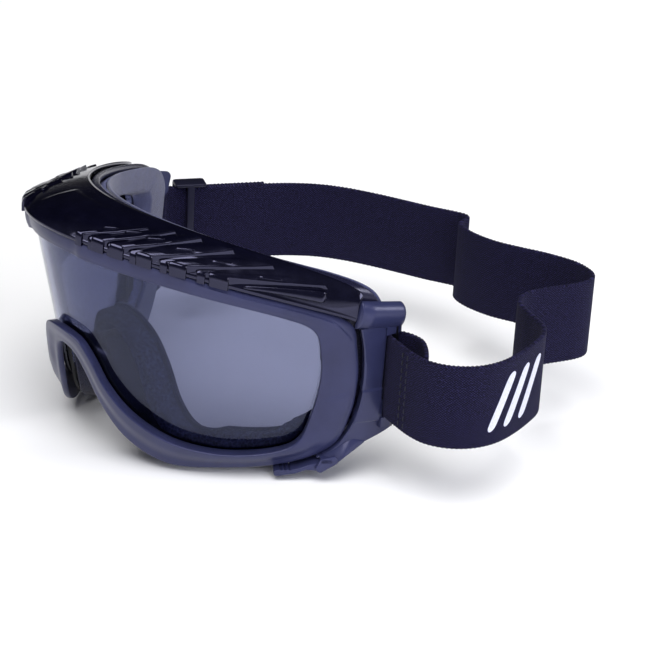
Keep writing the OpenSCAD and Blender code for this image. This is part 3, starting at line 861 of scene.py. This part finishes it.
def build_panel(side):
    rows = spline([[r[0], *r[1], *r[2]] for r in PANEL_ROWS], 6)
    near_step = STEP_Z + np.array([-0.3, 0, 0.1, 0.45, 0.8, 0.9, 1.2])
    levels = np.sort(np.append(rows[:, 0], near_step))
    rows = np.stack([np.interp(levels, rows[::-1, 0], column) for column in rows[::-1].T], 1)
    sections = []
    for z, x0, y0, x1, y1 in rows:
        low = min(max((12 - z) / 12, 0), 1)
        s = np.linspace(0, 1, 10)[:, None]
        outer = np.hstack([x0 + (x1 - x0) * s, y0 + (y1 - y0) * s, np.full_like(s, z)])
        outer[:, 0] += 0.35 * np.sin(np.pi * s[:, 0])
        outer[:, 0] -= (STEP_RISE + 0.1) * min(max((z - STEP_Z) / 0.9, 0), 1)
        shift = np.hstack([np.full_like(s, -PANEL_T + 2.2 * low), 2 * (1 - s),
                           np.full_like(s, 1.6 * low)])
        inner = (outer + shift)[::-1]
        corner = 0.55
        first, last = unit(outer[1] - outer[0]), unit(outer[-1] - outer[-2])
        outer[0] += first * corner
        outer[-1] -= last * corner
        extra_front = outer[0] - first * corner * 0.8 + unit(inner[-1] - outer[0]) * corner * 0.8
        extra_back = outer[-1] + last * corner * 0.8 + unit(inner[0] - outer[-1]) * corner * 0.8
        sections.append(np.vstack([outer, [extra_back], inner, [extra_front]]))
    return loft("panel", flip(sections, side), SATIN, flat_angle=50)


def build_roll(side):
    """The rolled upper edge: flush with the seam in front, rounded behind."""
    axis = np.array([0, math.cos(ROLL["slope"]), -math.sin(ROLL["slope"])])
    start = np.array([ROLL["x"], ROLL["y0"], ROLL["z0"]])
    up = np.array([0, math.sin(ROLL["slope"]), math.cos(ROLL["slope"])])
    out = np.array([1.0, 0, 0])
    length = (ROLL["y1"] - ROLL["y0"]) / math.cos(ROLL["slope"])
    first = (ROLL["cut"] + 0.3 - ROLL["y0"]) / math.cos(ROLL["slope"])
    front = first + np.concatenate([[0, 0.12, 0.35], np.linspace(0.9, 7, 9)])
    tail = length - TAIL_R * (1 - np.sin(np.linspace(0, np.pi / 2, 12)))
    sections = []
    for s in np.concatenate([front, np.linspace(first + 8, length - TAIL_R - 0.6, 6), tail]):
        drop = max(0.0, (s - (length - TAIL_R)) / TAIL_R)
        r = ROLL["r"] - 0.25 * max(0.0, 1 - (s - first) / 0.35) ** 2
        r -= TAIL_R * (1 - math.sqrt(max(0.0, 1 - drop ** 2)))
        # The front end tapers inwards until it is flush with the front frame
        reach = r * (0.78 + 0.22 * float(smooth(0, 5, s - first)))
        a = np.radians(np.linspace(-79, 79, 30))
        flat = ROLL["r"] * math.cos(math.radians(79))
        # Squarer than a circle: a flat outer side between two rounded shoulders
        c, n = np.cos(a), np.sin(a)
        ring = [start + axis * s + out * max(reach * abs(p) ** 0.8, flat) + up * r * q
                for p, q in zip(c, n)]
        sections.append(ring)
    return loft("roll", flip(sections, side), SATIN, flat_angle=60)


def in_tab(points):
    """From the tab's own frame, x towards the finger end, to the drawing."""
    c, s = math.cos(TAB_HEADING), math.sin(TAB_HEADING)
    turn = np.array([[c, -s, 0], [s, c, 0], [0, 0, 1]])
    return np.asarray(points, float) @ turn.T + TAB_PIVOT


def extruded(name, outline, y0, y1, bevel, side, material):
    """An outline in (x, z) of the tab's frame, from y0 to y1, with bevelled edges."""
    outline = np.asarray(outline, float)
    centre = outline.mean(0)
    rings = []
    for y, shrink in ((y0, bevel), (y0 + bevel * 0.3, bevel * 0.3), (y0 + bevel, 0),
                      (y1 - bevel, 0), (y1 - bevel * 0.3, bevel * 0.3), (y1, bevel)):
        rings.append(at_depth(outline - unit(outline - centre) * shrink, y))
    return loft(name, flip(in_tab(rings), side), material, flat_angle=40)


def circle_points(r, start, end, count):
    a = np.radians(np.linspace(start, end, count))
    return np.stack([r * np.cos(a), r * np.sin(a)], 1)


def build_hinge(side):
    """Two ears that run down from the arm round the pivot, and the bridge between them."""
    parts = []
    outline = np.vstack([[[0.2, 3.6], [-5.2, 5.0], [-6.2, 4.2], [-6.2, 2.2]],
                         circle_points(HUB_R, 225, 380, 16)])
    for s in (-1, 1):
        parts.append(extruded("ear", outline, s * EAR_AT - EAR_T / 2, s * EAR_AT + EAR_T / 2,
                              0.25, side, SATIN))
    bridge = [[-4.4, 2.1], [0, 2.1], [0, 3.3], [-0.3, 3.6], [-4.1, 3.6], [-4.4, 3.3]]
    parts.append(extruded("bridge", bridge, -EAR_AT - EAR_T / 2, EAR_AT + EAR_T / 2, 0.2,
                          side, SATIN))
    return parts


def build_lug(side, low, high):
    """A block that holds an end of the strap bar."""
    sections = []
    for z, r in ((low, 1.5), (low + 0.3, 1.8), (high - 0.3, 1.8), (high, 1.5)):
        left = [[BAR_X - r, y, z] for y in (24.0, 27.0, 30.2)]
        nose = [[BAR_X + r * math.cos(a), 29.4 + r * math.sin(a), z]
                for a in np.linspace(np.pi, 0, 12)[1:-1]]
        right = [[BAR_X + min(r, 1.2), y, z] for y in (30.2, 27.0, 24.0)]
        sections.append(left + nose + right)
    return loft("lug", flip(sections, side), SATIN, flat_angle=50)


# The fairing that carries the panel down into the outer ear, in the tab's frame: place
# along the tab, lower edge, outer side, then height and side where it meets the panel
FAIRING = [[-0.2, -1.3, 4.75, 3.0, 0.5], [-3, 0.0, 4.75, 4.7, 0.75], [-6, 2.0, 4.6, 6.8, 0.95],
           [-9, 4.2, 3.7, 9.0, 0.9], [-12, 5.8, 1.9, 10.4, 0.35], [-16.2, 7.9, -1.0, 9.0, -1.2]]


def build_fairing(side):
    sections = []
    for x, low, out, top, met in spline(FAIRING, 5):
        inner = min(3.65, out - 0.9)
        middle = (out * 0.55 + met * 0.45 + 0.25, low * 0.45 + top * 0.55 + 0.25)
        ring = [(inner, low), (out - 0.6, low), (out - 0.15, low + 0.15), (out, low + 0.6),
                middle, (met, top), (met - 0.3, top - 0.8), (inner, max(low + 0.9, 2.0))]
        sections.append(in_tab([[x, y, z] for y, z in ring]))
    return loft("fairing", flip(sections, side), SATIN, flat_angle=50)


def build_liner(side):
    """A rib behind the panel's rear edge, low down beside the strap."""
    sections = []
    for z, r in ((9.5, 0.3), (9.8, 0), (17.7, 0), (18, 0.3)):
        corners = [(74.6, 23.0), (78.0, 23.0), (78.0, 24.6), (77.6, 25.05), (74.9, 25.05),
                   (74.6, 24.6)]
        sections.append([[76.3 + (x - 76.3) * (1 - r), 24 + (y - 24) * (1 - r), z]
                         for x, y in corners])
    return loft("liner", flip(sections, side), SATIN, flat_angle=50)


def build_bracket(side, word):
    parts = [build_panel(side), build_roll(side), build_lug(side, 6.9, 10.8),
             build_lug(side, 44.0, 47.5), build_fairing(side), build_liner(side)]
    parts += build_hinge(side)
    bracket = join(f"bracket_{word}", parts)
    return finish_piece(bracket, "frame", f"strap_bracket_{word}")


def build_tab(side, word):
    hub = circle_points(HUB_R, 90, 270, 18)
    end = TAB_REACH
    under = [[2.5, -1.5], [5, -1.4], [9, -2.9], [end - 1, -4], [end - 0.3, -3.85],
             [end, -3.4], [end, -2.1], [end - 0.3, -1.65], [end - 1, -1.5]]
    # Three grip grooves on the upper side, near the finger end
    grip = []
    for x in np.linspace(end - 2, end - 5.2, 3):
        grip += [[x, -1.4], [x - 0.3, -1.75], [x - 0.7, -1.75], [x - 1.0, -1.35]]
    back = [[8, -0.8], [6, -0.05], [4, 0.7], [2, 1.25]]
    body = extruded("tab", np.vstack([hub, under, grip, back]), -TAB_W / 2, TAB_W / 2, 0.4,
                    side, SATIN)
    body.name = f"tab_{word}_lever"
    return finish_piece(body, f"{word}_tab", f"release_tab_{word}")


# ---- Strap ----

STRAP_POINTS = [
    [98.5, 26.4], [93.5, 30.2], [87.5, 33.4], [81.8, 33.4], [77.4, 31.6], [75.3, 30.4],
    [74.7, 28.8], [75.3, 27.1], [77.4, 26.1], [82, 25.1], [89, 24.0], [96.5, 23.4],
    [103.5, 24.4], [109.6, 28.2], [114, 34.2], [116, 41], [115.9, 48.5], [113.6, 57.5],
    [110.2, 66.5], [106, 75], [100.5, 80.4], [93, 83], [85.5, 84.8], [79, 87.6],
    [75, 92], [73.4, 98], [74, 105], [75.6, 113], [76.9, 120], [76.4, 126],
    [72.8, 130.6], [67, 132.6], [59, 132.6], [48, 128.8], [38, 123.6], [29, 119.4],
    [20, 117.4], [12, 117.4], [6.4, 119.4], [4.4, 122.6], [3.4, 125.8], [0, 127.4],
    [-5, 125.4], [-14, 120.4], [-25, 115.2], [-36, 109.8], [-47, 103.4], [-56, 96],
    [-63, 86.6], [-68.2, 76.4], [-72.4, 66], [-76.4, 56], [-80.4, 46], [-82.4, 41],
    [-82.8, 36.6], [-80.8, 33.4], [-77.6, 31.6], [-75.2, 30.6], [-74.6, 28.6], [-75.5, 26.6],
    [-77.8, 26.0], [-80.2, 27.2], [-83.4, 31.2], [-85.2, 36.4], [-84.2, 41.8], [-82.2, 46.8],
    [-78.2, 56.8], [-74.2, 66.8], [-70.2, 76.8]]
STRAP_FINE = 14
strap_line = spline(STRAP_POINTS, STRAP_FINE)
_way = unit(np.gradient(strap_line, axis=0))
strap_side = np.stack([_way[:, 1], -_way[:, 0]], 1)
strap_run = np.concatenate([[0], np.cumsum(np.linalg.norm(np.diff(strap_line, axis=0), axis=1))])


def build_strap():
    """Elastic webbing: rounded edges with the small loops of the knit along them."""
    half_w, half_t = STRAP_W / 2, STRAP_T / 2
    flat = np.linspace(-1, 1, 25)
    sections, uv = [], []
    for p, n, run in zip(strap_line, strap_side, strap_run):
        loops = 0.16 * math.sin(run * 2 * math.pi / 1.7)
        w = half_w - 0.75 + loops
        ring, coords = [], []
        # One face and the edge after it, then the same turned over
        for turn in (1, -1):
            for v in flat[::turn]:
                ring.append((v * w, half_t * turn))
                coords.append(v * half_w)
            for a in np.radians((60, 30, 0, -30, -60)):
                ring.append(((w + 0.6 * math.cos(a)) * turn, half_t * math.sin(a) * turn))
                coords.append((half_w + 0.2) * turn)
        sections.append([[p[0] + n[0] * t, p[1] + n[1] * t, STRAP_Z + z] for z, t in ring])
        uv += [(run / 10, c / 10) for c in coords]
    strap = loft("strap_webbing", sections, WEBBING, uv=uv, flat_angle=75)
    return finish_piece(strap, "frame", "strap")


def strap_at(place):
    """A point on the strap's middle line and its outward side, in quarters of a stretch."""
    i = np.clip(place * STRAP_FINE / 4, 0, len(strap_line) - 1.001)
    k = np.floor(i).astype(int)
    f = (i - k)[..., None]
    return (strap_line[k] * (1 - f) + strap_line[k + 1] * f,
            unit(strap_side[k] * (1 - f) + strap_side[k + 1] * f))


MARK_FIRST, MARK_STEP = 60, 4


def build_mark():
    """Three slanted bars printed on the strap, slightly raised."""
    bars = []
    for b in range(3):
        sections = []
        for v in np.linspace(0, 1, 26):
            ends = 0.25 + 0.75 * math.sqrt(max(0.0, 1 - abs(2 * v - 1) ** 8))
            centre = MARK_FIRST + b * MARK_STEP + 1 + v * 5
            p, n = strap_at(centre + np.linspace(-0.95, 0.95, 9) * ends)
            z = np.full((len(p), 1), STRAP_Z - 10.5 + v * 21)
            outer, inner = (np.hstack([p + n * (STRAP_T / 2 + up), z]) for up in (0.16, 0.02))
            sections.append(np.vstack([outer, inner[::-1]]))
        bars.append(loft(f"bar_{b}", sections, PRINT, flat_angle=60))
    mark = join("strap_print", bars)
    return finish_piece(mark, "frame", "strap_mark")


def build_stitching(at, heading, spacing, word):
    """Two rows of lock stitches, each thread a little crowned."""
    threads = []
    pitch, length = 3, 2.1
    c, s = math.cos(math.radians(heading)), math.sin(math.radians(heading))
    for row in range(2):
        for i in range(10):
            z0 = STRAP_Z - 14.6 + i * pitch
            sections = []
            for v in np.linspace(0, 1, 9):
                rise = 0.16 + 0.2 * math.sin(math.pi * v)
                r = 0.26 * math.sqrt(max(0.03, 1 - (2 * v - 1) ** 6))
                ring = []
                for a in np.linspace(0, 2 * math.pi, 9)[:-1]:
                    u = row * spacing + r * math.cos(a)
                    w = -STRAP_T / 2 - rise + r * math.sin(a)
                    ring.append([at[0] + c * u - s * w, at[1] + s * u + c * w, z0 + v * length])
                sections.append(ring)
            threads.append(loft("thread", sections, THREAD))
    piece = join(f"stitch_rows_{word}", threads)
    return finish_piece(piece, "frame", f"stitching_{word}")


# ---- Slider ----

SLIDER_AT = [-81.1, 46.9]
SLIDER_HEADING = math.radians(68.2)
SLIDER_L, SLIDER_T, SLIDER_BAR, SLIDER_RAIL, SLIDER_GAP = 13.0, 1.6, 3.0, 1.4, 0.45


def slider_bar(y, z, x0, x1, z0, z1, r=0.5):
    """A rounded bar in the slider's own frame: across z0 to z1, section x0..x1 by y..z."""
    corners = np.array([[x0, y], [x1, y], [x1, z], [x0, z]], float)
    middle = corners.mean(0)
    sections = []
    for level, shrink in ((z0, 0.35), (z0 + 0.12, 0.12), (z0 + 0.4, 0), (z1 - 0.4, 0),
                          (z1 - 0.12, 0.12), (z1, 0.35)):
        c = corners - np.sign(corners - middle) * shrink
        ring = rounded(c[:, None, :], [r] * 4, 4)[:, 0]
        sections.append(np.hstack([ring, np.full((len(ring), 1), level)]))
    return np.array(sections)


def build_slider():
    inner = STRAP_W + 2 * SLIDER_GAP
    depth = 2 * STRAP_T + 0.25 + 2 * SLIDER_GAP + 2 * SLIDER_T
    c, s = math.cos(SLIDER_HEADING), math.sin(SLIDER_HEADING)
    turn = np.array([[c, -s, 0], [s, c, 0], [0, 0, 1]])
    shift = np.array([*SLIDER_AT, STRAP_Z])
    end = inner / 2 + 0.6
    half = SLIDER_L / 2
    parts = [slider_bar(-depth / 2, depth / 2, -half, half, z, z + SLIDER_RAIL, 1.2)
             for z in (inner / 2, -inner / 2 - SLIDER_RAIL)]
    parts += [slider_bar(depth / 2 - SLIDER_T, depth / 2, x, x + SLIDER_BAR, -end, end)
              for x in (-half, half - SLIDER_BAR)]
    parts.append(slider_bar(-depth / 2, -depth / 2 + SLIDER_T, -SLIDER_BAR / 2, SLIDER_BAR / 2,
                            -end, end))
    piece = join("tri_glide", [loft("bar", p @ turn.T + shift, SLIDER, flat_angle=45)
                               for p in parts])
    return finish_piece(piece, "slider", "strap_slider")


# ---- CAD nodes that keep their shape ----

def dress(name, material):
    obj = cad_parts[name]
    obj.data.materials.clear()
    obj.data.materials.append(material)
    obj.data.polygons.foreach_set("use_smooth", [True] * len(obj.data.polygons))
    obj.data.set_sharp_from_angle(angle=math.radians(35))


# ---- Stage, lights and camera ----

def build_stage():
    z = cad_box[0][2] - 0.0002
    r = 30.0
    mesh = bpy.data.meshes.new("floor")
    mesh.from_pydata([(-r, -r, z), (r, -r, z), (r, r, z), (-r, r, z)], [], [(0, 1, 2, 3)])
    mesh.materials.append(paper("floor_paper", (0.93, 0.93, 0.935)))
    put("floor", mesh)


def area_light(name, where, target, size, power, colour=(1, 1, 1)):
    data = bpy.data.lights.new(name, "AREA")
    data.shape = "RECTANGLE"
    data.size, data.size_y = size
    data.energy = power
    data.color = colour
    lamp = put(name, data)
    lamp.location = where
    lamp.rotation_euler = (Vector(target) - Vector(where)).to_track_quat("-Z", "Y").to_euler()
    return lamp


def build_lights():
    """Pale walls round a dark ceiling, one large soft light, a rim light and a side fill."""
    world = bpy.data.worlds.new("studio")
    bpy.context.scene.world = world
    world.use_nodes = True
    tree = world.node_tree
    kinds = ("TexCoord", "SeparateXYZ", "ValToRGB", "VectorMath", "MapRange", "VectorMath")
    coord, parts, ramp, behind, fade, dimmed = (tree.nodes.new("ShaderNode" + k) for k in kinds)
    wall, ceiling = ramp.color_ramp.elements
    wall.position, wall.color = 0.04, (1, 1, 1, 1)
    ceiling.position, ceiling.color = 0.2, (0.1, 0.1, 0.11, 1)
    # The wall behind the goggles stays dark, so that the gloss brow stays black
    behind.operation, dimmed.operation = "DOT_PRODUCT", "SCALE"
    behind.inputs[1].default_value = (-0.78, 0.62, 0)
    for name, value in (("From Min", 0), ("From Max", 0.55), ("To Min", 1), ("To Max", 0.08)):
        fade.inputs[name].default_value = value
    around = coord.outputs["Generated"]
    for source, socket in (
            (around, parts.inputs[0]), (parts.outputs["Z"], ramp.inputs["Fac"]),
            (around, behind.inputs[0]), (behind.outputs["Value"], fade.inputs["Value"]),
            (ramp.outputs["Color"], dimmed.inputs[0]),
            (fade.outputs["Result"], dimmed.inputs["Scale"]),
            (dimmed.outputs["Vector"], tree.nodes["Background"].inputs["Color"])):
        tree.links.new(source, socket)
    sun = bpy.data.lights.new("ceiling_light", "SUN")
    sun.energy = 3.1
    sun.angle = math.radians(50)
    lamp = put("ceiling_light", sun)
    lamp.rotation_euler = Vector((-0.25, 0.3, -1)).to_track_quat("-Z", "Y").to_euler()
    middle = (0.0, 0.03, 0.0)
    area_light("rear_rim", (0.7, 1.04, 0.63), middle, (0.4, 0.34), 4)
    fill = area_light("side_fill", (1.15, 0.0, 0.5), middle, (0.9, 0.9), 8, (0.86, 0.88, 1.0))
    fill.visible_glossy = False


def build_camera():
    azimuth, elevation, roll = math.radians(51.47), math.radians(24.04), math.radians(3.38)
    distance, target = 0.93924, Vector((0.02753, 0.07194, -0.00736))
    back = Vector((math.sin(azimuth) * math.cos(elevation),
                   -math.cos(azimuth) * math.cos(elevation), math.sin(elevation)))
    right = Vector((math.cos(azimuth), math.sin(azimuth), 0))
    up = back.cross(right)
    turned_right = right * math.cos(roll) + up * math.sin(roll)
    turned_up = up * math.cos(roll) - right * math.sin(roll)
    data = bpy.data.cameras.new("camera")
    data.sensor_width = 36
    data.lens = 136.6
    data.clip_start = 0.05
    camera = put("camera", data)
    place = Matrix((turned_right, turned_up, back)).transposed().to_4x4()
    place.translation = target + back * distance
    camera.matrix_world = place
    bpy.context.scene.camera = camera


build_camera()
build_lights()
build_stage()
bpy.context.scene.view_settings.view_transform = "Standard"

build_lens()
build_gasket()
build_front_frame()
build_brow_cap()
build_rear_frame()
build_foam()
build_lining()
for side, word in ((1, "left"), (-1, "right")):
    build_bracket(side, word)
    build_tab(side, word)
    dress(f"strap_bar_{word}", STEEL)
    dress(f"tab_pin_{word}", STEEL)
    dress(f"vent_foam_{word}", VENT)
build_strap()
build_mark()
build_stitching([89.6, 23.95], -4.6, 3, "left")
build_stitching([-72.6, 70.8], 68.2 - 180, 2.5, "right")
build_slider()
